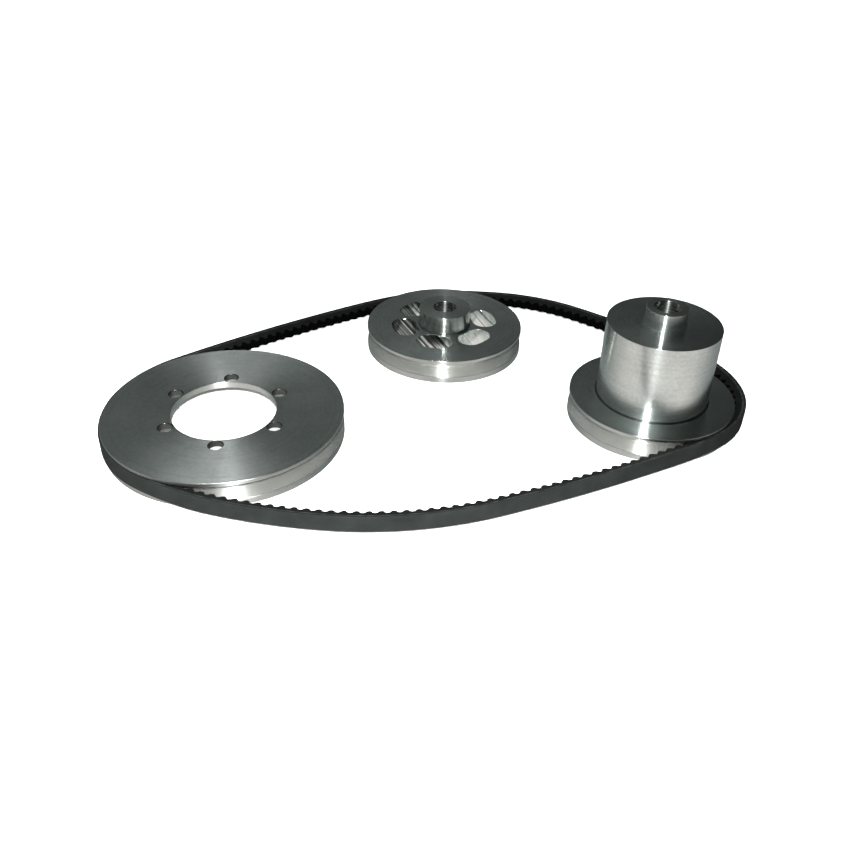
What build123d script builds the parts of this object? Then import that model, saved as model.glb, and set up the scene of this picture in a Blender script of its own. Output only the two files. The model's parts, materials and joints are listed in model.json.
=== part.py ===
from build123d import *
from math import atan2, cos, hypot, pi, radians, sin, sqrt, tan
import os

# A raw-edge cogged V-belt with three turned single-groove pulleys, lying flat inside its loop.
# Millimetres and degrees. +Z is up, and the pulleys rest on z = 0 with their axes vertical.
# The layout is worked out with the ring pulley's axis at (0, 0) and the drum pulley's axis on +X,
# and the finished pieces are moved so that the origin is at the middle of the base.

# ---------------------------------------------------------------- the belt's section
BELT_WIDTH = 10.0           # across the back, the widest place
BELT_THICKNESS = 8.0        # from the back to the tips of the cogs
FLANK_ANGLE = 18.0          # each raw edge leans in by this much
BACK_COVER = 1.2            # fabric-faced back ply
CUSHION = 1.4               # gum layer that holds the cords
CORD_DIAMETER = 1.0
CORD_COUNT = 7
CORD_SPACING = 1.2
COG_DEPTH = 2.4
COG_COUNT = 150

# ---------------------------------------------------------------- the pulleys
RIM_WIDTH = 16.0
MID_HEIGHT = 9.0            # of the groove's middle, and of the belt, above the base
GROOVE_WIDTH = 9.8          # at the rim
GROOVE_DEPTH = 8.5
EDGE_CHAMFER = 0.5

RING_RADIUS = 69.0
RING_BORE_RADIUS = 30.0
RING_WEB = 4.0              # thickness left above the recess in the underside
RING_RECESS_RADIUS = 56.0
RING_BOLT_COUNT = 6
RING_BOLT_CIRCLE = 70.0     # diameter
RING_BOLT_HOLE_RADIUS = 4.2
RING_BOLT_PHASE = 27.0

HUB_RADIUS = 17.0
HUB_PULLEY_RADIUS = 52.0
HUB_TOP = 28.0
HUB_BORE_RADIUS = 7.5
SLOT_COUNT = 6
SLOT_CIRCLE_RADIUS = 27.5
SLOT_WIDTH = 16.0
SLOT_SWEEP = 16.0           # degrees between the centres of a slot's round ends
SLOT_PHASE = 9.0

DRUM_PULLEY_RADIUS = 49.0
DRUM_RADIUS = 33.0
DRUM_TOP = 64.0
DRUM_WALL = 5.0
DRUM_END_WALL = 8.0
BOSS_RADIUS = 12.0
BOSS_TOP = 74.0
BOSS_BORE_RADIUS = 7.5

# ---------------------------------------------------------------- where things lie
RING_AXIS = (0.0, 0.0)
HUB_AXIS = (140.0, 97.0)
DRUM_AXIS = (254.0, 0.0)

BELT_PROUD = 1.0            # the belt's back stands this far out of the ring pulley's groove
RING_WRAP = (189.0, 231.0)  # part of the ring pulley that the belt follows closely
# The back of the belt, anticlockwise from above: x, y and the direction it runs in there.
FREE_STATIONS = [
    (54.0, -96.0, -11.0),
    (237.0, -63.0, 21.0),
    (288.0, -39.0, 35.0),
    (314.0, 14.0, 93.0),
    (286.0, 71.0, 133.0),
    (182.0, 146.0, 169.0),
    (122.0, 148.0, 196.0),
    (47.0, 115.0, 208.0),
]

FLANK_SLOPE = tan(radians(FLANK_ANGLE))


# ================================================================ the belt's route
def wrap_station(angle):
    """Where the belt's back passes the ring pulley at this angle."""
    radius = RING_RADIUS + BELT_PROUD
    x = RING_AXIS[0] + radius * cos(radians(angle))
    y = RING_AXIS[1] + radius * sin(radians(angle))
    return (x, y, angle + 90)


def arc_between(start, heading, end):
    """The arc that leaves start along heading and reaches end."""
    across, up = end[0] - start[0], end[1] - start[1]
    half_turn = (atan2(up, across) - heading + pi) % (2 * pi) - pi
    length = hypot(across, up) * half_turn / sin(half_turn)
    return {"start": start, "heading": heading, "turn": 2 * half_turn, "length": length}


def two_arcs(first, second):
    """Two arcs that join two stations and meet tangentially."""
    p, q = first[:2], second[:2]
    a, b = radians(first[2]), radians(second[2])
    chord = (q[0] - p[0], q[1] - p[1])
    bend = 2 * (1 - cos(a - b))
    lead = chord[0] * (cos(a) + cos(b)) + chord[1] * (sin(a) + sin(b))
    reach = (sqrt(lead**2 + bend * (chord[0] ** 2 + chord[1] ** 2)) - lead) / bend
    middle = (
        (p[0] + q[0] + reach * (cos(a) - cos(b))) / 2,
        (p[1] + q[1] + reach * (sin(a) - sin(b))) / 2,
    )
    one = arc_between(p, a, middle)
    two = arc_between(middle, a + one["turn"], q)
    return [one, two]


def belt_arcs():
    """The closed chain of tangent arcs that the belt's back follows."""
    stations = [wrap_station(RING_WRAP[1])] + FREE_STATIONS + [wrap_station(RING_WRAP[0])]
    arcs = []
    for first, second in zip(stations, stations[1:] + stations[:1]):
        arcs += two_arcs(first, second)
    return arcs


def on_arc(arc, fraction, depth):
    """A point on an arc, moved in from the belt's back by depth."""
    radius = arc["length"] / arc["turn"]
    heading = arc["heading"] + arc["turn"] * fraction
    centre_x = arc["start"][0] - radius * sin(arc["heading"])
    centre_y = arc["start"][1] + radius * cos(arc["heading"])
    inner = radius - depth
    return (centre_x + inner * sin(heading), centre_y - inner * cos(heading))


def loop_wire(arcs, depth):
    """The whole loop as a wire, at a depth below the belt's back."""
    edges = []
    for arc in arcs:
        ends = [on_arc(arc, fraction, depth) for fraction in (0, 0.5, 1)]
        edges.append(ThreePointArc(*ends))
    return Wire(edges)


def loop_point(arcs, distance, line_depth, depth):
    """A point at a distance along the line at line_depth, moved to another depth."""
    for arc in arcs:
        length = arc["length"] - line_depth * arc["turn"]
        if distance <= length:
            return on_arc(arc, distance / length, depth)
        distance -= length
    return on_arc(arcs[-1], 1, depth)


# ================================================================ the belt's layers
def half_width(depth):
    """Half of the belt's width at a depth below its back."""
    return BELT_WIDTH / 2 - depth * FLANK_SLOPE


def swept_loop(arcs, section):
    """Carries a section round the loop: section is in depth (x) and height (y)."""
    x, y = on_arc(arcs[0], 0, 0)
    heading = arcs[0]["heading"]
    inward = (-sin(heading), cos(heading), 0)
    across = Plane((x, y, MID_HEIGHT), x_dir=inward, z_dir=(cos(heading), sin(heading), 0))
    path = Pos(0, 0, MID_HEIGHT) * loop_wire(arcs, 0)
    return sweep(across * section, path=path)


def layer_section(top_depth, bottom_depth):
    """A layer of the belt's wedge-shaped section."""
    top, bottom = half_width(top_depth), half_width(bottom_depth)
    corners = [(top_depth, -top), (top_depth, top), (bottom_depth, bottom), (bottom_depth, -bottom)]
    return make_face(Polyline(*corners, close=True))


def make_belt_back_cover(arcs):
    return swept_loop(arcs, layer_section(0, BACK_COVER))


def make_belt_tension_cords(arcs):
    """The wound cord's turns, side by side in the middle of the cushion."""
    depth = BACK_COVER + CUSHION / 2
    cords = []
    for index in range(CORD_COUNT):
        height = (index - (CORD_COUNT - 1) / 2) * CORD_SPACING
        section = Pos(depth, height) * Circle(CORD_DIAMETER / 2)
        cords.append(swept_loop(arcs, section).solid())
    return Compound(cords)


def make_belt_cushion(arcs, cords):
    layer = swept_loop(arcs, layer_section(BACK_COVER, BACK_COVER + CUSHION))
    for cord in cords.solids():
        layer = layer - cord
    return layer


def cog_wire(arcs):
    """The wavy inner edge: a crest and a valley arc for each cog."""
    middle = BELT_THICKNESS - COG_DEPTH / 2
    total = sum(arc["length"] - middle * arc["turn"] for arc in arcs)
    pitch = total / COG_COUNT
    edges = []
    for cog in range(COG_COUNT):
        start = cog * pitch
        for begin, apex, end, depth in (
            (0, 0.25, 0.5, BELT_THICKNESS),
            (0.5, 0.75, 1, BELT_THICKNESS - COG_DEPTH),
        ):
            edges.append(
                ThreePointArc(
                    loop_point(arcs, start + begin * pitch, middle, middle),
                    loop_point(arcs, start + apex * pitch, middle, depth),
                    loop_point(arcs, (start + end * pitch) % total, middle, middle),
                )
            )
    return Wire(edges)


def make_belt_cogged_rubber(arcs):
    """The wedge under the cords, with its cogs."""
    top_depth = BACK_COVER + CUSHION
    outline = Face(loop_wire(arcs, top_depth), [cog_wire(arcs)])
    band = extrude(outline, amount=BELT_WIDTH)
    band = Pos(0, 0, MID_HEIGHT - BELT_WIDTH / 2) * band
    return band & swept_loop(arcs, layer_section(top_depth, BELT_THICKNESS + 1))


# ================================================================ the pulleys
def grooved_rim(radius):
    """The rim's outline from its top face, round the V groove, to its bottom face: (r, z)."""
    floor_radius = radius - GROOVE_DEPTH
    mouth = GROOVE_WIDTH / 2
    floor = mouth - GROOVE_DEPTH * FLANK_SLOPE
    return [
        (radius - EDGE_CHAMFER, RIM_WIDTH),
        (radius, RIM_WIDTH - EDGE_CHAMFER),
        (radius, MID_HEIGHT + mouth),
        (floor_radius, MID_HEIGHT + floor),
        (floor_radius, MID_HEIGHT - floor),
        (radius, MID_HEIGHT - mouth),
        (radius, EDGE_CHAMFER),
        (radius - EDGE_CHAMFER, 0),
    ]


def turned(outline):
    """Turns a closed outline of (r, z) points about the pulley's axis."""
    corners = [(r, 0, z) for r, z in outline]
    return revolve(make_face(Polyline(*corners, close=True)), axis=Axis.Z)


def make_ring_pulley():
    web_bottom = RIM_WIDTH - RING_WEB
    body = turned(
        grooved_rim(RING_RADIUS)
        + [
            (RING_RECESS_RADIUS, 0),
            (RING_RECESS_RADIUS, web_bottom),
            (RING_BORE_RADIUS, web_bottom),
            (RING_BORE_RADIUS, RIM_WIDTH - EDGE_CHAMFER),
            (RING_BORE_RADIUS + EDGE_CHAMFER, RIM_WIDTH),
        ]
    )
    hole = Cylinder(RING_BOLT_HOLE_RADIUS, 3 * RIM_WIDTH)
    circle = PolarLocations(RING_BOLT_CIRCLE / 2, RING_BOLT_COUNT, start_angle=RING_BOLT_PHASE)
    return body - circle * hole


def make_hub_pulley_rim():
    """The grooved disc with its kidney-shaped lightening slots."""
    disc = turned(grooved_rim(HUB_PULLEY_RADIUS) + [(HUB_RADIUS, 0), (HUB_RADIUS, RIM_WIDTH)])
    for index in range(SLOT_COUNT):
        start = SLOT_PHASE - SLOT_SWEEP / 2 + index * 360 / SLOT_COUNT
        centre_line = CenterArc((0, 0), SLOT_CIRCLE_RADIUS, start, SLOT_SWEEP)
        disc = disc - extrude(SlotArc(centre_line, SLOT_WIDTH), amount=RIM_WIDTH)
    return disc


def make_hub_pulley_hub():
    """The bored hub, which runs through the disc and stands up above it."""
    return turned(
        [
            (HUB_BORE_RADIUS + EDGE_CHAMFER, 0),
            (HUB_BORE_RADIUS, EDGE_CHAMFER),
            (HUB_BORE_RADIUS, HUB_TOP - EDGE_CHAMFER),
            (HUB_BORE_RADIUS + EDGE_CHAMFER, HUB_TOP),
            (HUB_RADIUS - EDGE_CHAMFER, HUB_TOP),
            (HUB_RADIUS, HUB_TOP - EDGE_CHAMFER),
            (HUB_RADIUS, 0),
        ]
    )


def make_drum_pulley_rim():
    """The grooved ring at the open end of the drum."""
    hollow_radius = DRUM_RADIUS - DRUM_WALL
    return turned(
        grooved_rim(DRUM_PULLEY_RADIUS)
        + [
            (hollow_radius + EDGE_CHAMFER, 0),
            (hollow_radius, EDGE_CHAMFER),
            (hollow_radius, RIM_WIDTH),
        ]
    )


def make_drum_pulley_drum():
    """The hollow drum with its end wall and bored boss."""
    hollow_radius = DRUM_RADIUS - DRUM_WALL
    end_wall_bottom = DRUM_TOP - DRUM_END_WALL
    return turned(
        [
            (hollow_radius, RIM_WIDTH),
            (hollow_radius, end_wall_bottom),
            (BOSS_BORE_RADIUS, end_wall_bottom),
            (BOSS_BORE_RADIUS, BOSS_TOP - EDGE_CHAMFER),
            (BOSS_BORE_RADIUS + EDGE_CHAMFER, BOSS_TOP),
            (BOSS_RADIUS - EDGE_CHAMFER, BOSS_TOP),
            (BOSS_RADIUS, BOSS_TOP - EDGE_CHAMFER),
            (BOSS_RADIUS, DRUM_TOP),
            (DRUM_RADIUS - EDGE_CHAMFER, DRUM_TOP),
            (DRUM_RADIUS, DRUM_TOP - EDGE_CHAMFER),
            (DRUM_RADIUS, RIM_WIDTH),
        ]
    )


# ================================================================ put together
def build():
    arcs = belt_arcs()
    cords = make_belt_tension_cords(arcs)
    pieces = {
        "belt_back_cover": make_belt_back_cover(arcs),
        "belt_tension_cords": cords,
        "belt_cushion": make_belt_cushion(arcs, cords),
        "belt_cogged_rubber": make_belt_cogged_rubber(arcs),
        "ring_pulley": Pos(*RING_AXIS) * make_ring_pulley(),
        "hub_pulley_rim": Pos(*HUB_AXIS) * make_hub_pulley_rim(),
        "hub_pulley_hub": Pos(*HUB_AXIS) * make_hub_pulley_hub(),
        "drum_pulley_rim": Pos(*DRUM_AXIS) * make_drum_pulley_rim(),
        "drum_pulley_drum": Pos(*DRUM_AXIS) * make_drum_pulley_drum(),
    }
    middle = loop_wire(arcs, 0).bounding_box().center()
    to_base_middle = Pos(-middle.X, -middle.Y, 0)
    return {name: to_base_middle * piece for name, piece in pieces.items()}, middle


os.makedirs("parts", exist_ok=True)
parts, layout_middle = build()
for name, piece in parts.items():
    export_step(piece, f"parts/{name}.step")
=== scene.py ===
import json
from math import acos, asin, atan2, cos, hypot, pi, radians, sin, sqrt, tan

import bpy
from mathutils import Matrix, Vector


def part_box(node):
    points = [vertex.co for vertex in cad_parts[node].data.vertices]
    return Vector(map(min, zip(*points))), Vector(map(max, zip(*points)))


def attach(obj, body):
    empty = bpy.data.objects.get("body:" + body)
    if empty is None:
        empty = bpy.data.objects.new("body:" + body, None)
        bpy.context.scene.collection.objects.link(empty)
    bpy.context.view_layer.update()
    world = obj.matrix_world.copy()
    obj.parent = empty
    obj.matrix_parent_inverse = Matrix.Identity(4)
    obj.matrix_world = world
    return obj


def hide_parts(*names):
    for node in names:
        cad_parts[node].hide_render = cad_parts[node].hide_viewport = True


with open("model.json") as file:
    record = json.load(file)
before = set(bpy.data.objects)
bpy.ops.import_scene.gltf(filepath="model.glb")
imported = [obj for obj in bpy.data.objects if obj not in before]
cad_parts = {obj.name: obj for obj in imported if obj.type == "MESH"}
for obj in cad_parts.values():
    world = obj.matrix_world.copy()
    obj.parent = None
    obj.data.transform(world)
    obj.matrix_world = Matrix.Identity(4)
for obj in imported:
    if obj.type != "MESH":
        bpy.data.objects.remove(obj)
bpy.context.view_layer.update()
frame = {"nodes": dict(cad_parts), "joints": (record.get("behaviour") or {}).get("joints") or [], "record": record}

# A cogged V-belt and three turned pulleys. Metres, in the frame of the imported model.
# Outlines and belt sizes are written in millimetres and scaled once, when a mesh is made.
MM = 0.001

# ---------------------------------------------------------------- sizes shared by the pieces (mm)
BELT_WIDTH = 10.0
BELT_THICKNESS = 8.0
FLANK_SLOPE = tan(radians(18.0))
BACK_COVER = 1.2
CUSHION = 1.4
COG_DEPTH = 2.4
COG_COUNT = 150

GROOVE_WIDTH = 9.8
GROOVE_DEPTH = 8.5
MID_HEIGHT = 9.0            # of the grooves and of the belt
SHARP_EDGE = 0.3            # rounding of a deburred edge
SOFT_EDGE = 0.4             # rounding of the rims' outer edges
INSIDE_CORNER = 0.5         # left by the tip of the turning tool
DRUM_FOOT = 0.9             # fillet where the drum stands on its flange

RING_WEB = 4.0
RING_RECESS_RADIUS = 56.0
HUB_RADIUS = 17.0
SLOT_COUNT = 6
SLOT_CIRCLE = 27.5
SLOT_WIDTH = 16.0
SLOT_SWEEP = radians(16.0)
SLOT_PHASE = radians(9.0)
RING_BOLT_PHASE = radians(27.0)
DRUM_RADIUS = 33.0
DRUM_TOP = 64.0
DRUM_WALL = 5.0
DRUM_END_WALL = 8.0
BOSS_RADIUS = 12.0

BACK_ROUNDING = 0.3         # of the belt's two outer corners
COG_BEVEL = 0.25            # along the edges of the cogs

TURN_STEPS = 360            # facets round a turned piece
ROUNDING_STEPS = 4          # facets of a rounded edge
HOLE_STEPS = 48             # facets round a drilled hole
SLOT_STEPS = 24             # facets along each side and each end of a slot
BELT_STEP = 1.5             # spacing of the belt's sections where it has no cogs
COG_STEPS = 12              # sections along half a cog
CREASE = 35                 # edges sharper than this many degrees stay crisp
LARGEST_FIRST = 100         # weight at which the largest face alone sets a corner's shading

joint_place = {joint["child"]: Vector(joint["pos_m"]) for joint in frame["joints"]}
mounts = {mount["name"]: mount for mount in frame["record"]["mounts"]}


def foot_of(body):
    """Where the body's axis meets the floor."""
    x, y, _ = joint_place[body]
    return Vector((x, y, 0))


def rim_radius(node):
    low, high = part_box(node)
    return round(max(high.x - low.x, high.y - low.y) / 2 / MM)


def top_of(node):
    return round(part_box(node)[1].z / MM)


RIM_WIDTH = top_of("ring_pulley")
RING_RADIUS = rim_radius("ring_pulley")


# ================================================================ meshes
def new_piece(name, vertices, faces, place=(0, 0, 0)):
    """A smooth-shaded object from points in millimetres, with its origin at place in metres."""
    mesh = bpy.data.meshes.new(name)
    mesh.from_pydata([Vector(v) * MM for v in vertices], [], faces)
    mesh.validate()
    mesh.shade_smooth()
    piece = bpy.data.objects.new(name, mesh)
    piece.location = place
    bpy.context.scene.collection.objects.link(piece)
    return piece


def sharpen(piece):
    """Keeps creased edges crisp and lets large faces stay flat."""
    piece.data.set_sharp_from_angle(angle=radians(CREASE))
    flat = piece.modifiers.new("flat_faces", "WEIGHTED_NORMAL")
    flat.keep_sharp = True
    flat.weight = LARGEST_FIRST


def rounded(corners):
    """An outline of (r, z, rounding) corners with each corner replaced by an arc."""
    points = []
    for index, (r, z, rounding) in enumerate(corners):
        here = Vector((r, z))
        back = (Vector(corners[index - 1][:2]) - here).normalized()
        ahead = (Vector(corners[(index + 1) % len(corners)][:2]) - here).normalized()
        if rounding == 0:
            points.append(here)
            continue
        half = acos(max(-1, min(1, back.dot(ahead)))) / 2
        centre = here + (back + ahead).normalized() * (rounding / sin(half))
        reach = rounding / tan(half)
        first = here + back * reach - centre
        sweep = first.angle_signed(here + ahead * reach - centre)
        for step in range(ROUNDING_STEPS + 1):
            turned = Matrix.Rotation(-sweep * step / ROUNDING_STEPS, 2) @ first
            points.append(centre + turned)
    return points


def turn(name, outline, place, steps=TURN_STEPS):
    """Turns a closed outline of (r, z) points about the vertical axis through place."""
    count = len(outline)
    vertices = []
    for step in range(steps):
        angle = 2 * pi * step / steps
        vertices += [(r * cos(angle), r * sin(angle), z) for r, z in outline]
    faces = []
    for step in range(steps):
        here, there = step * count, (step + 1) % steps * count
        for i in range(count):
            j = (i + 1) % count
            faces.append((here + i, there + i, there + j, here + j))
    return new_piece(name, vertices, faces, place)


def flare_levels(bottom, top, flare):
    """Heights and widenings of a cutter whose hole gets rounded mouths of radius flare."""
    angles = [pi / 2 * k / ROUNDING_STEPS for k in range(ROUNDING_STEPS + 1)]
    arc = [(flare * sin(angle), flare * (1 - cos(angle))) for angle in angles]
    outside = 3 * flare         # the widening beyond a mouth, clear of its rounded edge
    upper = [(top - flare + up, out) for up, out in arc] + [(top + flare, outside)]
    lower = [(bottom + flare - up, out) for up, out in reversed(arc)]
    return [(bottom - flare, outside)] + lower + upper


def cutter(name, outline_at, levels, place):
    """A closed solid through the given levels; outline_at(widening) gives its outline."""
    vertices, faces = [], []
    count = len(outline_at(0))
    for z, widening in levels:
        vertices += [(x, y, z) for x, y in outline_at(widening)]
    for level in range(len(levels) - 1):
        low, high = level * count, (level + 1) * count
        for i in range(count):
            j = (i + 1) % count
            faces.append((low + i, low + j, high + j, high + i))
    faces.append(tuple(reversed(range(count))))
    faces.append(tuple(range(len(vertices) - count, len(vertices))))
    return new_piece(name, vertices, faces, place)


def cut_away(piece, cutters):
    """Cuts the cutters out of a piece for good."""
    for tool in cutters:
        cut = piece.modifiers.new("cut", "BOOLEAN")
        cut.object = tool
        cut.solver = "EXACT"
    bpy.context.view_layer.update()
    evaluated = piece.evaluated_get(bpy.context.evaluated_depsgraph_get())
    mesh = bpy.data.meshes.new_from_object(evaluated)
    piece.modifiers.clear()
    piece.data = mesh
    for tool in cutters:
        bpy.data.objects.remove(tool)
    return piece


def finish_faces(piece, finish, chosen):
    """Gives the faces that chosen accepts, by their middle and normal, another finish."""
    for face in piece.data.polygons:
        middle = face.center / MM
        if chosen(hypot(middle.x, middle.y), middle.z, face.normal):
            face.material_index = finish


# ================================================================ the pulleys
# The finishes of a pulley's faces, in the order of its materials.
TURNED, GROOVE, MILLED, BORED, LIP, CORNER = range(6)
LEVEL = 0.99                # a face whose normal is steeper than this counts as level
UPRIGHT = 0.1               # a face whose normal is flatter than this counts as upright


def groove_faces(radius):
    """Picks the flanks and the floor of the groove."""
    def chosen(r, z, normal):
        in_groove = radius - GROOVE_DEPTH - INSIDE_CORNER < r < radius - SHARP_EDGE / 2
        return in_groove and abs(z - MID_HEIGHT) < GROOVE_WIDTH / 2
    return chosen


def lip_faces(radius):
    """Picks the two plain bands beside the groove."""
    return lambda r, z, normal: r > radius - SHARP_EDGE / 2 and abs(normal.z) < UPRIGHT


def bore_faces(radius):
    """Picks the wall of the bore, with its rounded ends."""
    return lambda r, z, normal: r < radius + SOFT_EDGE + SHARP_EDGE and abs(normal.z) < LEVEL


def hole_faces(circle, half):
    """Picks the walls of holes that lie on a circle and reach half to each side of it."""
    def chosen(r, z, normal):
        return abs(r - circle) < half + SHARP_EDGE and z < RIM_WIDTH and abs(normal.z) < LEVEL
    return chosen


def corner_faces(radius, rounding):
    """Picks the rounded inside corner where a hub or drum of this radius stands on the rim."""
    def chosen(r, z, normal):
        return radius < r < radius + rounding and RIM_WIDTH < z < RIM_WIDTH + rounding
    return chosen


def finish_rim(piece, radius):
    finish_faces(piece, GROOVE, groove_faces(radius))
    finish_faces(piece, LIP, lip_faces(radius))


def grooved_rim(radius):
    """The rim's outline from its top face, round the V groove, to its bottom face."""
    floor_radius = radius - GROOVE_DEPTH
    mouth = GROOVE_WIDTH / 2
    floor = mouth - GROOVE_DEPTH * FLANK_SLOPE
    return [
        (radius, RIM_WIDTH, SOFT_EDGE),
        (radius, MID_HEIGHT + mouth, SHARP_EDGE),
        (floor_radius, MID_HEIGHT + floor, INSIDE_CORNER),
        (floor_radius, MID_HEIGHT - floor, INSIDE_CORNER),
        (radius, MID_HEIGHT - mouth, SHARP_EDGE),
        (radius, 0, SOFT_EDGE),
    ]


def round_hole(radius, centre):
    """The outline of a round hole, as a function of how much it is widened."""
    def outline(widening):
        angles = [2 * pi * k / HOLE_STEPS for k in range(HOLE_STEPS)]
        reach = radius + widening
        return [(centre[0] + reach * cos(a), centre[1] + reach * sin(a)) for a in angles]
    return outline


def kidney_slot(middle):
    """The outline of a slot that is bent round the axis, centred on the angle middle."""
    def outline(widening):
        half = SLOT_WIDTH / 2 + widening
        first, last = middle - SLOT_SWEEP / 2, middle + SLOT_SWEEP / 2
        points = slot_side(SLOT_CIRCLE + half, first, SLOT_SWEEP)
        points += slot_end(last, half, 0)
        points += slot_side(SLOT_CIRCLE - half, last, -SLOT_SWEEP)
        points += slot_end(first, half, pi)
        return points
    return outline


def slot_side(radius, start, sweep):
    """A long side of a slot: an arc about the pulley's axis."""
    angles = [start + sweep * k / SLOT_STEPS for k in range(SLOT_STEPS + 1)]
    return [(radius * cos(angle), radius * sin(angle)) for angle in angles]


def slot_end(angle, half, start):
    """The round end of a slot, without the two points that it shares with the sides."""
    x, y = SLOT_CIRCLE * cos(angle), SLOT_CIRCLE * sin(angle)
    turns = [angle + start + pi * k / SLOT_STEPS for k in range(1, SLOT_STEPS)]
    return [(x + half * cos(t), y + half * sin(t)) for t in turns]


def make_ring_pulley():
    bore = mounts["ring_bore"]["dims"]["r_mm"]
    bolts = mounts["ring_bolts"]["dims"]
    bolt_circle = bolts["pcd_mm"] / 2
    web_bottom = RIM_WIDTH - RING_WEB
    place = foot_of("ring")
    corners = grooved_rim(RING_RADIUS) + [
        (RING_RECESS_RADIUS, 0, SHARP_EDGE),
        (RING_RECESS_RADIUS, web_bottom, INSIDE_CORNER),
        (bore, web_bottom, SHARP_EDGE),
        (bore, RIM_WIDTH, SOFT_EDGE),
    ]
    ring = turn("ring_pulley_turned", rounded(corners), place)
    levels = flare_levels(web_bottom, RIM_WIDTH, SHARP_EDGE)
    cutters = []
    for index in range(bolts["count"]):
        angle = RING_BOLT_PHASE + 2 * pi * index / bolts["count"]
        centre = (bolt_circle * cos(angle), bolt_circle * sin(angle))
        cutters.append(cutter("hole", round_hole(bolts["hole_r_mm"], centre), levels, place))
    cut_away(ring, cutters)
    finish_rim(ring, RING_RADIUS)
    finish_faces(ring, BORED, hole_faces(bolt_circle, bolts["hole_r_mm"]))
    sharpen(ring)
    return ring


def make_hub_pulley():
    bore = mounts["hub_bore"]["dims"]["r_mm"]
    radius = rim_radius("hub_pulley_rim")
    top = top_of("hub_pulley_hub")
    place = foot_of("hub")
    corners = grooved_rim(radius) + [
        (bore, 0, SOFT_EDGE),
        (bore, top, SOFT_EDGE),
        (HUB_RADIUS, top, SHARP_EDGE),
        (HUB_RADIUS, RIM_WIDTH, INSIDE_CORNER),
    ]
    hub = turn("hub_pulley_turned", rounded(corners), place)
    levels = flare_levels(0, RIM_WIDTH, SHARP_EDGE)
    cutters = []
    for index in range(SLOT_COUNT):
        middle = SLOT_PHASE + 2 * pi * index / SLOT_COUNT
        cutters.append(cutter("slot", kidney_slot(middle), levels, place))
    cut_away(hub, cutters)
    finish_rim(hub, radius)
    finish_faces(hub, BORED, bore_faces(bore))
    finish_faces(hub, CORNER, corner_faces(HUB_RADIUS, INSIDE_CORNER))
    finish_faces(hub, MILLED, hole_faces(SLOT_CIRCLE, SLOT_WIDTH / 2))
    sharpen(hub)
    return hub


def make_drum_pulley():
    bore = mounts["drum_bore"]["dims"]["r_mm"]
    hollow = DRUM_RADIUS - DRUM_WALL
    end_wall_bottom = DRUM_TOP - DRUM_END_WALL
    radius = rim_radius("drum_pulley_rim")
    top = top_of("drum_pulley_drum")
    corners = grooved_rim(radius) + [
        (hollow, 0, SOFT_EDGE),
        (hollow, end_wall_bottom, INSIDE_CORNER),
        (bore, end_wall_bottom, SHARP_EDGE),
        (bore, top, SOFT_EDGE),
        (BOSS_RADIUS, top, SHARP_EDGE),
        (BOSS_RADIUS, DRUM_TOP, INSIDE_CORNER),
        (DRUM_RADIUS, DRUM_TOP, SHARP_EDGE),
        (DRUM_RADIUS, RIM_WIDTH, DRUM_FOOT),
    ]
    drum = turn("drum_pulley_turned", rounded(corners), foot_of("drum"))
    finish_rim(drum, radius)
    finish_faces(drum, BORED, bore_faces(bore))
    finish_faces(drum, CORNER, corner_faces(DRUM_RADIUS, DRUM_FOOT))
    sharpen(drum)
    return drum


# ================================================================ the belt's route
# The back of the belt as in the CAD model, anticlockwise from above, measured from the ring
# pulley's axis in millimetres: x, y and the direction that it runs in there, in degrees.
BELT_PROUD = 1.0                # how far the back stands out of the ring pulley's groove
RING_WRAP = (189.0, 231.0)      # where the belt meets and leaves the ring pulley, in degrees
FREE_STATIONS = [
    (54.0, -96.0, -11.0),
    (237.0, -63.0, 21.0),
    (288.0, -39.0, 35.0),
    (314.0, 14.0, 93.0),
    (286.0, 71.0, 133.0),
    (182.0, 146.0, 169.0),
    (122.0, 148.0, 196.0),
    (47.0, 115.0, 208.0),
]


def wrap_station(angle):
    """A station where the belt lies in the ring pulley's groove."""
    radius = RING_RADIUS + BELT_PROUD
    return (radius * cos(radians(angle)), radius * sin(radians(angle)), angle + 90)


def arc_between(start, heading, end):
    """The arc that leaves start in the direction heading and ends in end."""
    across, up = end[0] - start[0], end[1] - start[1]
    half_turn = (atan2(up, across) - heading + pi) % (2 * pi) - pi
    length = hypot(across, up) * half_turn / sin(half_turn)
    return {"start": start, "heading": heading, "turn": 2 * half_turn, "length": length}


def two_arcs(first, second):
    """Two arcs that join two stations and meet tangentially."""
    p, q = first[:2], second[:2]
    a, b = radians(first[2]), radians(second[2])
    chord = (q[0] - p[0], q[1] - p[1])
    bend = 2 * (1 - cos(a - b))
    lead = chord[0] * (cos(a) + cos(b)) + chord[1] * (sin(a) + sin(b))
    reach = (sqrt(lead**2 + bend * (chord[0] ** 2 + chord[1] ** 2)) - lead) / bend
    middle = (
        (p[0] + q[0] + reach * (cos(a) - cos(b))) / 2,
        (p[1] + q[1] + reach * (sin(a) - sin(b))) / 2,
    )
    one = arc_between(p, a, middle)
    return [one, arc_between(middle, a + one["turn"], q)]


def belt_arcs():
    """The whole loop as arcs, from where the belt leaves the ring pulley and round to there."""
    stations = [wrap_station(RING_WRAP[1])] + FREE_STATIONS + [wrap_station(RING_WRAP[0])]
    arcs = []
    for first, second in zip(stations, stations[1:] + stations[:1]):
        arcs += two_arcs(first, second)
    return arcs


ARCS = belt_arcs()


def loop_length(depth):
    """The loop's length at this depth below its back."""
    return sum(arc["length"] - depth * arc["turn"] for arc in ARCS)


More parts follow.
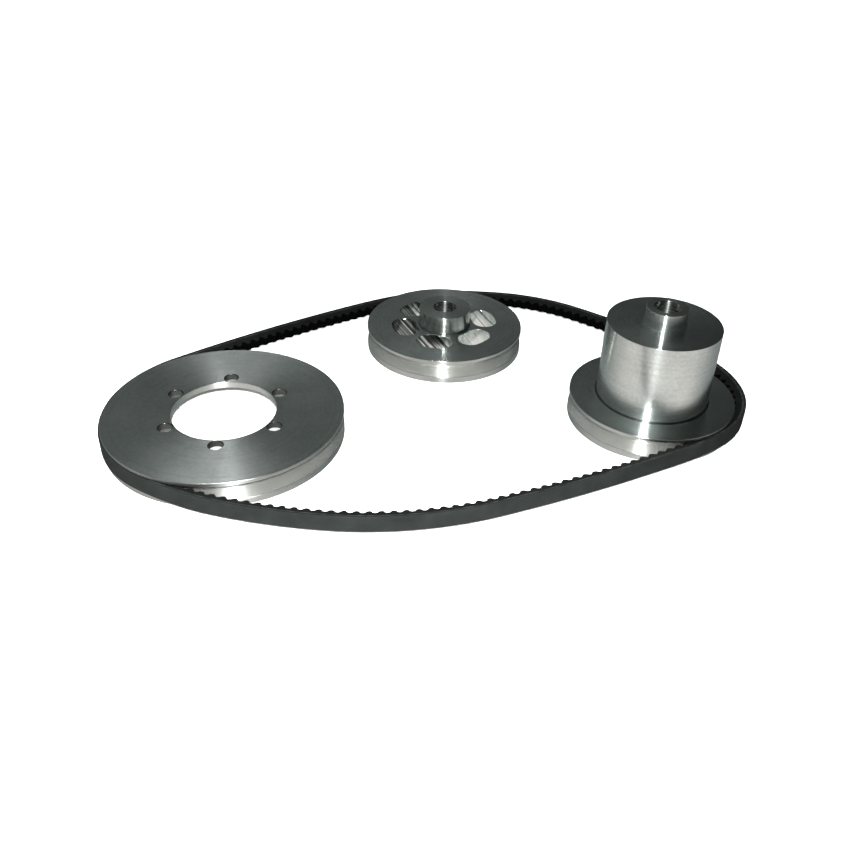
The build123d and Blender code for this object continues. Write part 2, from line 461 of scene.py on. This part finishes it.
def loop_place(distance, line_depth):
    """The point on the belt's back and the inward direction, at a distance along a line."""
    for arc in ARCS:
        length = arc["length"] - line_depth * arc["turn"]
        if distance <= length or arc is ARCS[-1]:
            break
        distance -= length
    fraction = min(distance / length, 1)
    radius = arc["length"] / arc["turn"]
    heading = arc["heading"] + arc["turn"] * fraction
    x = arc["start"][0] + radius * (sin(heading) - sin(arc["heading"]))
    y = arc["start"][1] - radius * (cos(heading) - cos(arc["heading"]))
    return Vector((x, y)), Vector((-sin(heading), cos(heading)))


# ================================================================ the belt's layers
def half_width(depth):
    return BELT_WIDTH / 2 - depth * FLANK_SLOPE


def sweep_belt(name, stations, sections):
    """Joins closed sections of (depth, height) points, one for each station along the loop.

    stations are (distance, line depth) pairs. Each corner keeps where it lies in the belt, as
    along, depth and height in metres, in the attribute belt_place.
    """
    count = len(sections[0])
    vertices = []
    for (distance, line_depth), section in zip(stations, sections):
        back, inward = loop_place(distance, line_depth)
        for depth, height in section:
            spot = back + inward * depth
            vertices.append((spot.x, spot.y, MID_HEIGHT + height))
    faces, places = [], []
    total = loop_length(stations[0][1])
    for k, (distance, line_depth) in enumerate(stations):
        n = (k + 1) % len(stations)
        ahead = stations[n][0] if n else total
        for i in range(count):
            j = (i + 1) % count
            faces.append((k * count + i, k * count + j, n * count + j, n * count + i))
            places += [(distance, *sections[k][i]), (distance, *sections[k][j])]
            places += [(ahead, *sections[n][j]), (ahead, *sections[n][i])]
    piece = new_piece(name, vertices, faces, foot_of("ring"))
    attribute = piece.data.attributes.new("belt_place", "FLOAT_VECTOR", "CORNER")
    attribute.data.foreach_set("vector", [value * MM for spot in places for value in spot])
    sharpen(piece)
    return piece


def sweep_layer(name, top_depth, bottom_depth, rounding):
    """A layer of the wedge section, with its two outer corners rounded."""
    top, bottom = half_width(top_depth), half_width(bottom_depth)
    corners = [
        (top_depth, top, rounding),
        (bottom_depth, bottom, 0),
        (bottom_depth, -bottom, 0),
        (top_depth, -top, rounding),
    ]
    section = [tuple(point) for point in rounded(corners)]
    total = loop_length(top_depth)
    count = round(total / BELT_STEP)
    stations = [(total * k / count, top_depth) for k in range(count)]
    return sweep_belt(name, stations, [section] * count)


def make_back_cover():
    return sweep_layer("belt_back_ply", 0, BACK_COVER, BACK_ROUNDING)


def make_cushion():
    return sweep_layer("belt_cord_gum", BACK_COVER, BACK_COVER + CUSHION, 0)


def cog_stations():
    """Stations along the wavy edge, and the edge's depth at each."""
    line_depth = BELT_THICKNESS - COG_DEPTH / 2
    pitch = loop_length(line_depth) / COG_COUNT
    quarter, rise = pitch / 4, COG_DEPTH / 2
    radius = (quarter**2 + rise**2) / (2 * rise)
    widest = asin(quarter / radius)
    stations, depths = [], []
    for half_cog in range(2 * COG_COUNT):
        middle = (half_cog + 0.5) * pitch / 2
        for step in range(COG_STEPS):
            angle = widest * (2 * step / COG_STEPS - 1)
            fall = radius * (1 - cos(angle))
            crest = half_cog % 2 == 0
            stations.append((middle + radius * sin(angle), line_depth))
            depths.append(BELT_THICKNESS - fall if crest else BELT_THICKNESS - COG_DEPTH + fall)
    return stations, depths


MOULDED, CUT_EDGE = range(2)        # finishes of the cogged layer, in the order of its materials
CUT_STEEPNESS = 0.9                 # a face whose normal is steeper than this was cut


def cog_section(depth):
    """The cogged layer's section where it is depth deep, with its lower edges bevelled."""
    top_depth = BACK_COVER + CUSHION
    bevel_depth = depth - COG_BEVEL
    top, shoulder = half_width(top_depth), half_width(bevel_depth)
    bottom = half_width(depth) - COG_BEVEL
    return [
        (top_depth, top),
        (bevel_depth, shoulder),
        (depth, bottom),
        (depth, -bottom),
        (bevel_depth, -shoulder),
        (top_depth, -top),
    ]


def make_cogged_rubber():
    stations, depths = cog_stations()
    cogs = sweep_belt("belt_cogs", stations, [cog_section(depth) for depth in depths])
    finish_faces(cogs, CUT_EDGE, lambda r, z, normal: abs(normal.z) > CUT_STEEPNESS)
    return cogs


# ================================================================ materials
class Nodes:
    """Adds shader nodes to a material or a world and links them."""

    def __init__(self, owner):
        owner.use_nodes = True
        self.owner = owner
        self.tree = owner.node_tree

    def add(self, kind, inputs=None, **settings):
        node = self.tree.nodes.new("ShaderNode" + kind)
        for key, value in settings.items():
            setattr(node, key, value)
        for key, value in (inputs or {}).items():
            self.put(node, key, value)
        return node

    def put(self, node, key, value):
        if isinstance(value, bpy.types.NodeSocket):
            self.tree.links.new(value, node.inputs[key])
        else:
            node.inputs[key].default_value = value

    def math(self, operation, *values):
        return self.add("Math", dict(enumerate(values)), operation=operation).outputs[0]

    def split(self, vector):
        return self.add("SeparateXYZ", {0: vector}).outputs

    def dot(self, vector, axis):
        node = self.add("VectorMath", {0: vector, 1: axis}, operation="DOT_PRODUCT")
        return node.outputs["Value"]

    def multiply(self, vector, factors):
        return self.add("VectorMath", {0: vector, 1: factors}, operation="MULTIPLY").outputs[0]

    def scale(self, vector, factor):
        return self.add("VectorMath", {0: vector, "Scale": factor}, operation="SCALE").outputs[0]

    def ramp(self, value, low, high, out_low=0.0, out_high=1.0, **settings):
        inputs = {"Value": value, "From Min": low, "From Max": high}
        inputs.update({"To Min": out_low, "To Max": out_high})
        return self.add("MapRange", inputs, **settings).outputs[0]

    def mix(self, factor, first, second):
        return self.add("Mix", {0: factor, 6: first, 7: second}, data_type="RGBA").outputs[2]

    def noise(self, scale, detail=2.0, roughness=0.5, vector=None, line=None):
        """Noise through space at vector, or in bands at the distance line."""
        inputs = {"Scale": scale, "Detail": detail, "Roughness": roughness}
        if line is not None:
            inputs["W"] = line
            return self.add("TexNoise", inputs, noise_dimensions="1D").outputs[0]
        inputs["Vector"] = vector
        return self.add("TexNoise", inputs).outputs[0]


class Surface(Nodes):
    """A new material with one Principled shader."""

    def __init__(self, name):
        super().__init__(bpy.data.materials.new(name))
        self.material = self.owner
        self.shader = self.tree.nodes["Principled BSDF"]

    def set(self, **inputs):
        for key, value in inputs.items():
            self.put(self.shader, key.replace("_", " "), value)

    def bump(self, height, strength, distance):
        inputs = {"Height": height, "Strength": strength, "Distance": distance}
        self.set(Normal=self.add("Bump", inputs).outputs[0])


def lathe_coordinates(n):
    """The object's coordinates, and a distance that grows along any turned face."""
    spot = n.add("TexCoord").outputs["Object"]
    x, y, z = n.split(spot)
    flat = n.add("CombineXYZ", {0: x, 1: y})
    radius = n.add("VectorMath", {0: flat.outputs[0]}, operation="LENGTH").outputs["Value"]
    return spot, n.math("ADD", radius, z)


QUARTER_TURN = 0.25         # from the tangent to the grain, as the shader counts it


def lay_grain(n, evenness, askew=None):
    """Lays the metal's grain round the axis, as a lathe does, or askew by an angle in radians."""
    tangent = n.add("Tangent", direction_type="RADIAL", axis="Z").outputs[0]
    if askew is not None:
        inputs = {"Vector": tangent, "Angle": askew}
        tangent = n.add("VectorRotate", inputs, rotation_type="Z_AXIS").outputs[0]
    n.set(Anisotropic=evenness, Anisotropic_Rotation=QUARTER_TURN, Tangent=tangent)


RUBBING = 3.6               # radians of skew for each unit of the noise's height
UNRUBBED = 0.43             # the noise's height at which there is no skew
RUBBED_EDGE = 0.03          # half the step in the noise between true and rubbed marks
ROUGHNESS_SPREAD = 0.015    # to both sides of a turned face's roughness

# The colours that each kind of turned metal lies between.
CLEAN_METAL = (0.555, 0.605, 0.585, 1), (0.725, 0.765, 0.745, 1)
# painted shade: the same turned metal as the faces, painted darker on the upright bands beside the groove
LIP_SHADE_METAL = (0.43, 0.465, 0.45, 1), (0.54, 0.575, 0.56, 1)
# painted shade in the rounded inside corner where the hub or drum stands on the rim
CORNER_SHADE_METAL = (0.12, 0.13, 0.127, 1), (0.22, 0.235, 0.23, 1)
GROOVE_METAL = (0.57, 0.585, 0.56, 1), (0.66, 0.675, 0.65, 1)
BORE_METAL = (0.30, 0.32, 0.31, 1), (0.46, 0.48, 0.47, 1)
# painted shade: the drilled holes' walls painted near-black for the shade inside them
HOLE_SHADE_METAL = (0.06, 0.065, 0.063, 1), (0.12, 0.13, 0.125, 1)


def turned_aluminium(name, feed, colours, roughness, evenness, rubbed):
    """Bare aluminium with the circular marks of the lathe; feed is the tool's step in metres.

    rubbed is the noise level below which the marks run true: above it they were rubbed askew.
    """
    n = Surface(name)
    spot, line = lathe_coordinates(n)
    marks = n.math("SINE", n.math("MULTIPLY", line, 2 * pi / feed))
    fine = n.noise(3200.0, line=line)
    bands = n.noise(420.0, line=line)
    cloud = n.noise(45.0, detail=4.0, vector=spot)
    mottle = n.noise(650.0, detail=3.0, roughness=0.6, vector=spot)
    mixed = n.math("ADD", n.math("MULTIPLY", cloud, 0.5), n.math("MULTIPLY", mottle, 0.35))
    tone = n.math("ADD", n.math("MULTIPLY", bands, 0.15), mixed)
    smooth, coarse = roughness - ROUGHNESS_SPREAD, roughness + ROUGHNESS_SPREAD
    n.set(
        Base_Color=n.mix(n.ramp(tone, 0.38, 0.62), *colours),
        Metallic=1.0,
        Roughness=n.ramp(n.math("ADD", bands, fine), 0.6, 1.4, smooth, coarse),
    )
    skew = n.math("SUBTRACT", n.noise(3500.0, detail=1.0, vector=spot), UNRUBBED)
    patches = n.noise(2300.0, detail=1.0, vector=spot)
    share = n.ramp(patches, rubbed - RUBBED_EDGE, rubbed + RUBBED_EDGE)
    lay_grain(n, evenness, n.math("MULTIPLY", n.math("MULTIPLY", skew, RUBBING), share))
    n.bump(n.math("ADD", n.math("MULTIPLY", marks, 0.3), fine), 0.08, 0.00001)
    return n.material


def groove_aluminium(name):
    """The groove: form-turned, so coarser and duller than the faces."""
    n = Surface(name)
    spot, line = lathe_coordinates(n)
    chatter = n.noise(900.0, detail=3.0, line=line)
    cloud = n.noise(60.0, detail=4.0, vector=spot)
    n.set(
        Base_Color=n.mix(n.ramp(cloud, 0.3, 0.7), *GROOVE_METAL),
        Metallic=0.94,
        Roughness=n.ramp(chatter, 0.3, 0.7, 0.255, 0.275),
    )
    lay_grain(n, 0.96)
    n.bump(chatter, 0.08, 0.00001)
    return n.material


def milled_aluminium(name):
    """The walls of the slots: slanted marks as the cutter left them, with bright and dark bands painted over them
    as painted reflections, and painted lighter toward the right as painted light.
    """
    n = Surface(name)
    spot = n.add("TexCoord").outputs["Object"]
    flutes_and_glints = n.noise(320.0, line=n.dot(spot, (1.0, 0.35, 0.8)))
    # painted light and painted reflection: the slots on the right are painted brighter, and the slanted bands are
    # painted bright and dark
    painted_light_rightward = n.ramp(n.split(spot)[0], -0.01, 0.012, -0.04, 0.22)
    bright = n.ramp(n.math("ADD", flutes_and_glints, painted_light_rightward), 0.45, 0.56)
    cloud = n.noise(80.0, detail=3.0, vector=spot)
    pale = n.mix(n.ramp(cloud, 0.3, 0.7), (0.64, 0.69, 0.68, 1), (0.78, 0.82, 0.80, 1))
    n.set(
        Base_Color=n.mix(bright, (0.10, 0.112, 0.108, 1), pale),
        Metallic=1.0,
        Roughness=n.ramp(flutes_and_glints, 0.3, 0.7, 0.14, 0.28),
    )
    n.bump(flutes_and_glints, 0.35, 0.00003)
    return n.material


def bored_aluminium(name, centred):
    """The dark wall of a bore, or of a drilled hole painted near-black as painted shade inside it; centred tells
    if it is on the pulley's axis.
    """
    n = Surface(name)
    spot, line = lathe_coordinates(n)
    scores = n.noise(1500.0, line=line)
    cloud = n.noise(150.0, detail=3.0, vector=spot)
    n.set(
        Base_Color=n.mix(n.ramp(cloud, 0.3, 0.7), *(BORE_METAL if centred else HOLE_SHADE_METAL)),
        Metallic=1.0,
        Roughness=n.ramp(scores, 0.3, 0.7, 0.2, 0.3),
    )
    if centred:
        lay_grain(n, 0.9)
    n.bump(scores, 0.3, 0.00002)
    return n.material


def belt_place(n):
    """Where a point lies in the belt: along it, its depth below the back and its height."""
    return n.add("Attribute", attribute_name="belt_place").outputs["Vector"]


def painted_flash_falloff(n, colour):
    """Rubber painted paler on the near run and darker toward the far and right, as painted shade where the flash
    light falls off.
    """
    away = n.dot(n.add("TexCoord").outputs["Object"], (0.35, 1.0, 0.0))
    return n.scale(colour, n.ramp(away, -0.02, 0.12, 1.0, 0.4))


THREAD = 0.0007             # the cloth's pitch in metres
TWIST = 0.0012              # the cords' pitch in metres


def back_rubber():
    """The woven-faced back: matt, with a faint cloth print and rubbed patches."""
    n = Surface("belt_back_rubber")
    place = belt_place(n)
    along, _, height = n.split(place)
    warp = n.math("SINE", n.math("MULTIPLY", along, 2 * pi / THREAD))
    weft = n.math("SINE", n.math("MULTIPLY", height, 2 * pi / THREAD))
    weave = n.math("MULTIPLY", warp, weft)
    grain = n.noise(2500.0, detail=3.0, vector=place)
    patches = n.noise(70.0, detail=5.0, roughness=0.6, vector=place)
    tone = n.math("ADD", n.math("MULTIPLY", patches, 0.7), n.math("MULTIPLY", grain, 0.3))
    dark, pale = (0.0086, 0.0098, 0.0096, 1), (0.0138, 0.0160, 0.0155, 1)
    # the colour is painted darker toward the far run and the right, as painted shade
    n.set(
        Base_Color=painted_flash_falloff(n, n.mix(n.ramp(tone, 0.35, 0.65), dark, pale)),
        Roughness=n.ramp(patches, 0.3, 0.7, 0.58, 0.72),
        Specular_IOR_Level=0.03,
    )
    n.bump(n.math("ADD", n.math("MULTIPLY", weave, 0.5), grain), 0.5, 0.00006)
    return n.material


def gum_rubber():
    """The layer round the cords: its cut edge shows the pale ends of the cords' fibres."""
    n = Surface("belt_gum_rubber")
    place = belt_place(n)
    middle = BACK_COVER * MM + CUSHION * MM / 2
    off_line = n.math("ABSOLUTE", n.math("SUBTRACT", n.split(place)[1], middle))
    on_line = n.ramp(off_line, 0.0002, 0.0005, 1.0, 0.0)
    fibres = n.noise(3000.0, detail=3.0, vector=n.multiply(place, (0.25, 1.0, 1.0)))
    breaks = n.noise(260.0, vector=place)
    pale = n.math("MULTIPLY", on_line, n.ramp(n.math("ADD", fibres, breaks), 0.85, 1.25))
    # the colour is painted darker toward the far run and the right, as painted shade
    n.set(
        Base_Color=painted_flash_falloff(n, n.mix(pale, (0.0065, 0.0072, 0.0070, 1), (0.045, 0.048, 0.046, 1))),
        Roughness=n.ramp(fibres, 0.3, 0.7, 0.6, 0.8),
        Specular_IOR_Level=0.08,
    )
    n.bump(fibres, 0.5, 0.00008)
    return n.material


def cog_rubber(name, dark, pale, fibre, specular):
    """The wedge's rubber, with short paler fibres lying across the belt."""
    n = Surface(name)
    place = belt_place(n)
    fibres = n.noise(2600.0, vector=n.multiply(place, (1.0, 1.0, 0.3)))
    dust = n.noise(120.0, detail=4.0, vector=place)
    speck = n.math("MULTIPLY", n.ramp(fibres, 0.62, 0.74), 0.6)
    # the colour is painted darker toward the far run and the right, as painted shade
    n.set(
        Base_Color=painted_flash_falloff(n, n.mix(speck, n.mix(n.ramp(dust, 0.3, 0.7), dark, pale), fibre)),
        Roughness=n.ramp(dust, 0.3, 0.7, 0.6, 0.78),
        Specular_IOR_Level=specular,
    )
    n.bump(fibres, 0.45, 0.00008)
    return n.material


def moulded_rubber():
    """The cogs' faces, black as they left the mould."""
    return cog_rubber(
        "belt_moulded_rubber",
        dark=(0.0011, 0.0012, 0.0012, 1),
        pale=(0.0020, 0.0021, 0.0021, 1),
        fibre=(0.0055, 0.006, 0.0057, 1),
        specular=0.0,
    )


def cut_rubber():
    """The raw edges of the wedge, ground after the belt was cut from its sleeve."""
    return cog_rubber(
        "belt_cut_rubber",
        dark=(0.0040, 0.0045, 0.0044, 1),
        pale=(0.0068, 0.0077, 0.0075, 1),
        fibre=(0.021, 0.023, 0.022, 1),
        specular=0.03,
    )


def cord_fibre():
    """Twisted polyester cord: pale, with the slant of its twist."""
    n = Surface("belt_cord_fibre")
    spot = n.add("TexCoord").outputs["Object"]
    slant = n.dot(spot, (1.0, 1.0, 2.0))
    twist = n.math("SINE", n.math("MULTIPLY", slant, 2 * pi / TWIST))
    fuzz = n.noise(1800.0, detail=3.0, vector=spot)
    n.set(
        Base_Color=n.mix(n.ramp(twist, -1, 1), (0.36, 0.34, 0.29, 1), (0.58, 0.56, 0.50, 1)),
        Roughness=n.ramp(fuzz, 0.3, 0.7, 0.7, 0.9),
        Sheen_Weight=0.2,
    )
    n.bump(n.math("ADD", twist, fuzz), 0.4, 0.00006)
    return n.material


def pale_floor():
    n = Surface("pale_floor")
    cloud = n.noise(3.0, detail=3.0, vector=n.add("TexCoord").outputs["Object"])
    n.set(
        Base_Color=n.mix(cloud, (0.80, 0.80, 0.79, 1), (0.84, 0.84, 0.83, 1)),
        Roughness=0.6,
        Specular_IOR_Level=0.2,
    )
    return n.material


# ================================================================ dressing the frame
def dress(piece, materials, body, nodes):
    for material in materials:
        piece.data.materials.append(material)
    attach(piece, body)
    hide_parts(*nodes)


def pulley_finishes(body, feed, roughness, evenness, rubbed, centred):
    """A pulley's materials in the order TURNED, GROOVE, MILLED, BORED, LIP, CORNER."""
    return [
        turned_aluminium(body + "_turned_face", feed, CLEAN_METAL, roughness, evenness, rubbed),
        groove_aluminium(body + "_groove"),
        milled_aluminium(body + "_milled_wall"),
        bored_aluminium(body + "_bored_wall", centred),
        # the lip copy is painted darker as painted shade
        turned_aluminium(body + "_lip", feed, LIP_SHADE_METAL, roughness, evenness, rubbed),
        # the corner copy is painted dark as painted shade
        turned_aluminium(body + "_corner", feed, CORNER_SHADE_METAL, roughness, evenness, rubbed),
    ]


ring_finishes = pulley_finishes(
    "ring", feed=0.0004, roughness=0.305, evenness=0.92, rubbed=0.42, centred=False
)
hub_finishes = pulley_finishes(
    "hub", feed=0.0003, roughness=0.19, evenness=1.0, rubbed=0.45, centred=True
)
drum_finishes = pulley_finishes(
    "drum", feed=0.0003, roughness=0.185, evenness=0.92, rubbed=0.5, centred=True
)
hub_nodes = ["hub_pulley_rim", "hub_pulley_hub"]
drum_nodes = ["drum_pulley_rim", "drum_pulley_drum"]
cog_finishes = [moulded_rubber(), cut_rubber()]
dress(make_ring_pulley(), ring_finishes, "ring", ["ring_pulley"])
dress(make_hub_pulley(), hub_finishes, "hub", hub_nodes)
dress(make_drum_pulley(), drum_finishes, "drum", drum_nodes)
dress(make_back_cover(), [back_rubber()], "belt", ["belt_back_cover"])
dress(make_cushion(), [gum_rubber()], "belt", ["belt_cushion"])
dress(make_cogged_rubber(), cog_finishes, "belt", ["belt_cogged_rubber"])

cords = frame["nodes"]["belt_tension_cords"]
cords.data.materials.clear()
cords.data.materials.append(cord_fibre())


# ================================================================ the studio
CAMERA_PLACE = (-0.0589, -0.4677, 0.306)
CAMERA_LENS = 38.2                  # millimetres
CAMERA_SENSOR = 36.0                # its width in millimetres
CAMERA_HEADING = radians(6.94)      # clockwise from +Y
CAMERA_PITCH = radians(34.55)       # downwards
CAMERA_ROLL = 0.02743

STUDIO_RADIUS = 4.0
WALL_MARGIN = 0.05          # the backdrop's thickness, and how far it reaches below the floor
WALL_STEPS = 96             # facets round the backdrop
FLOOR_DROP = 0.00005        # keeps the floor just clear of the pulleys' undersides


def make_floor():
    """The floor, which lights the set from below but isn't mirrored in the metal."""
    half = STUDIO_RADIUS / MM
    corners = [(-half, -half, 0), (half, -half, 0), (half, half, 0), (-half, half, 0)]
    floor = new_piece("floor", corners, [(0, 1, 2, 3)], (0, 0, -FLOOR_DROP))
    floor.data.materials.append(pale_floor())
    floor.visible_glossy = False


def make_backdrop():
    """A white wall round the floor, only for the camera to see."""
    inside, margin = STUDIO_RADIUS / MM, WALL_MARGIN / MM
    outside, top = inside + margin, inside
    outline = [(inside, -margin), (inside, top), (outside, top), (outside, -margin)]
    backdrop = turn("backdrop", outline, (0, 0, 0), WALL_STEPS)
    n = Surface("white_wall")
    n.set(Base_Color=(0.8, 0.8, 0.8, 1), Emission_Color=(1.0, 1.0, 1.0, 1), Emission_Strength=0.9)
    backdrop.data.materials.append(n.material)
    backdrop.visible_glossy = False
    backdrop.visible_diffuse = False
    backdrop.visible_shadow = False


def add_light(name, data, place, target):
    light = bpy.data.objects.new(name, data)
    light.location = place
    direction = Vector(target) - Vector(place)
    light.rotation_euler = direction.to_track_quat("-Z", "Y").to_euler()
    light.visible_camera = False
    bpy.context.scene.collection.objects.link(light)
    return light


FLASH_RISE = 0.06           # above the camera
FLASH_SIZE = 0.03
FLASH_POWER = 11.5
FLASH_TARGET = (0.0, 0.05, 0.0)
SKY_PLACE = (-0.9, -0.2, 2)
SKY_STRENGTH = 5.0
SKY_SPREAD = radians(110)


def make_lights():
    """A flash just above the camera, and an even soft fill from above and the left."""
    x, y, z = CAMERA_PLACE
    flash = bpy.data.lights.new("flash", "AREA")
    flash.shape = "ELLIPSE"
    flash.size = flash.size_y = FLASH_SIZE
    flash.energy = FLASH_POWER
    add_light("flash", flash, (x, y, z + FLASH_RISE), FLASH_TARGET)
    sky = bpy.data.lights.new("sky", "SUN")
    sky.energy = SKY_STRENGTH
    sky.angle = SKY_SPREAD
    add_light("sky", sky, SKY_PLACE, (0, 0, 0)).visible_glossy = False


WORLD_ABOVE = [(-1.0, 0.07), (0.35, 0.075), (0.6, 0.11), (1.0, 0.14)]     # sine of elevation, level
WORLD_TINT = (0.95, 1.03, 1.01)         # of the levels above the horizon
WORLD_SIDE = (0.0, 0.4, 1.2, 0.2)       # how the levels above fall from the left to the right
WORLD_BACK = (0.25, 0.275, 0.27, 1)     # below the horizon, away from the camera
WORLD_FRONT = (0.88, 0.825, 0.795, 1)   # below the horizon, on the camera's side
WORLD_HEADING = radians(17.0)           # where the pale front faces away from, clockwise from +Y
WORLD_TURN = (-0.75, 0.65)              # cosines between which the back turns into the front
WORLD_HORIZON = (-0.12, 0.04)           # sines between which below turns into above


def make_world():
    """Dark above, so that flat metal looks dark; pale below and in front, where the sides look."""
    n = Nodes(bpy.data.worlds.new("studio"))
    direction = n.add("TexCoord").outputs["Generated"]
    elevation = n.split(direction)[2]

    levels = n.add("ValToRGB", {0: n.ramp(elevation, -1.0, 1.0)})
    marks = levels.color_ramp.elements
    for _ in WORLD_ABOVE[1:-1]:
        marks.new(0.5)
    for mark, (height, level) in zip(marks, WORLD_ABOVE):
        mark.position = (height + 1) / 2
        mark.color = (*(level * share for share in WORLD_TINT), 1)
    toward_right = n.dot(direction, (cos(CAMERA_HEADING), -sin(CAMERA_HEADING), 0))
    above = n.scale(levels.outputs[0], n.ramp(toward_right, *WORLD_SIDE))

    toward_camera = n.dot(direction, (-sin(WORLD_HEADING), -cos(WORLD_HEADING), 0))
    frontness = n.ramp(toward_camera, *WORLD_TURN, interpolation_type="SMOOTHSTEP")
    below = n.mix(frontness, WORLD_BACK, WORLD_FRONT)

    height = n.ramp(elevation, *WORLD_HORIZON, interpolation_type="SMOOTHSTEP")
    n.put(n.tree.nodes["Background"], "Color", n.mix(height, below, above))
    bpy.context.scene.world = n.owner


def make_camera():
    data = bpy.data.cameras.new("camera")
    data.lens = CAMERA_LENS
    data.sensor_width = CAMERA_SENSOR
    data.clip_start = 0.01
    camera = bpy.data.objects.new("camera", data)
    ahead = Vector((sin(CAMERA_HEADING), cos(CAMERA_HEADING), 0))
    right = Vector((cos(CAMERA_HEADING), -sin(CAMERA_HEADING), 0))
    up_axis = Vector((0, 0, 1))
    forward = ahead * cos(CAMERA_PITCH) - up_axis * sin(CAMERA_PITCH)
    up = ahead * sin(CAMERA_PITCH) + up_axis * cos(CAMERA_PITCH)
    x_axis = right * cos(CAMERA_ROLL) + up * sin(CAMERA_ROLL)
    y_axis = up * cos(CAMERA_ROLL) - right * sin(CAMERA_ROLL)
    matrix = Matrix((x_axis, y_axis, -forward)).transposed().to_4x4()
    matrix.translation = CAMERA_PLACE
    camera.matrix_world = matrix
    bpy.context.scene.collection.objects.link(camera)
    bpy.context.scene.camera = camera


make_floor()
make_backdrop()
make_world()
make_lights()
make_camera()
bpy.context.scene.view_settings.view_transform = "Standard"
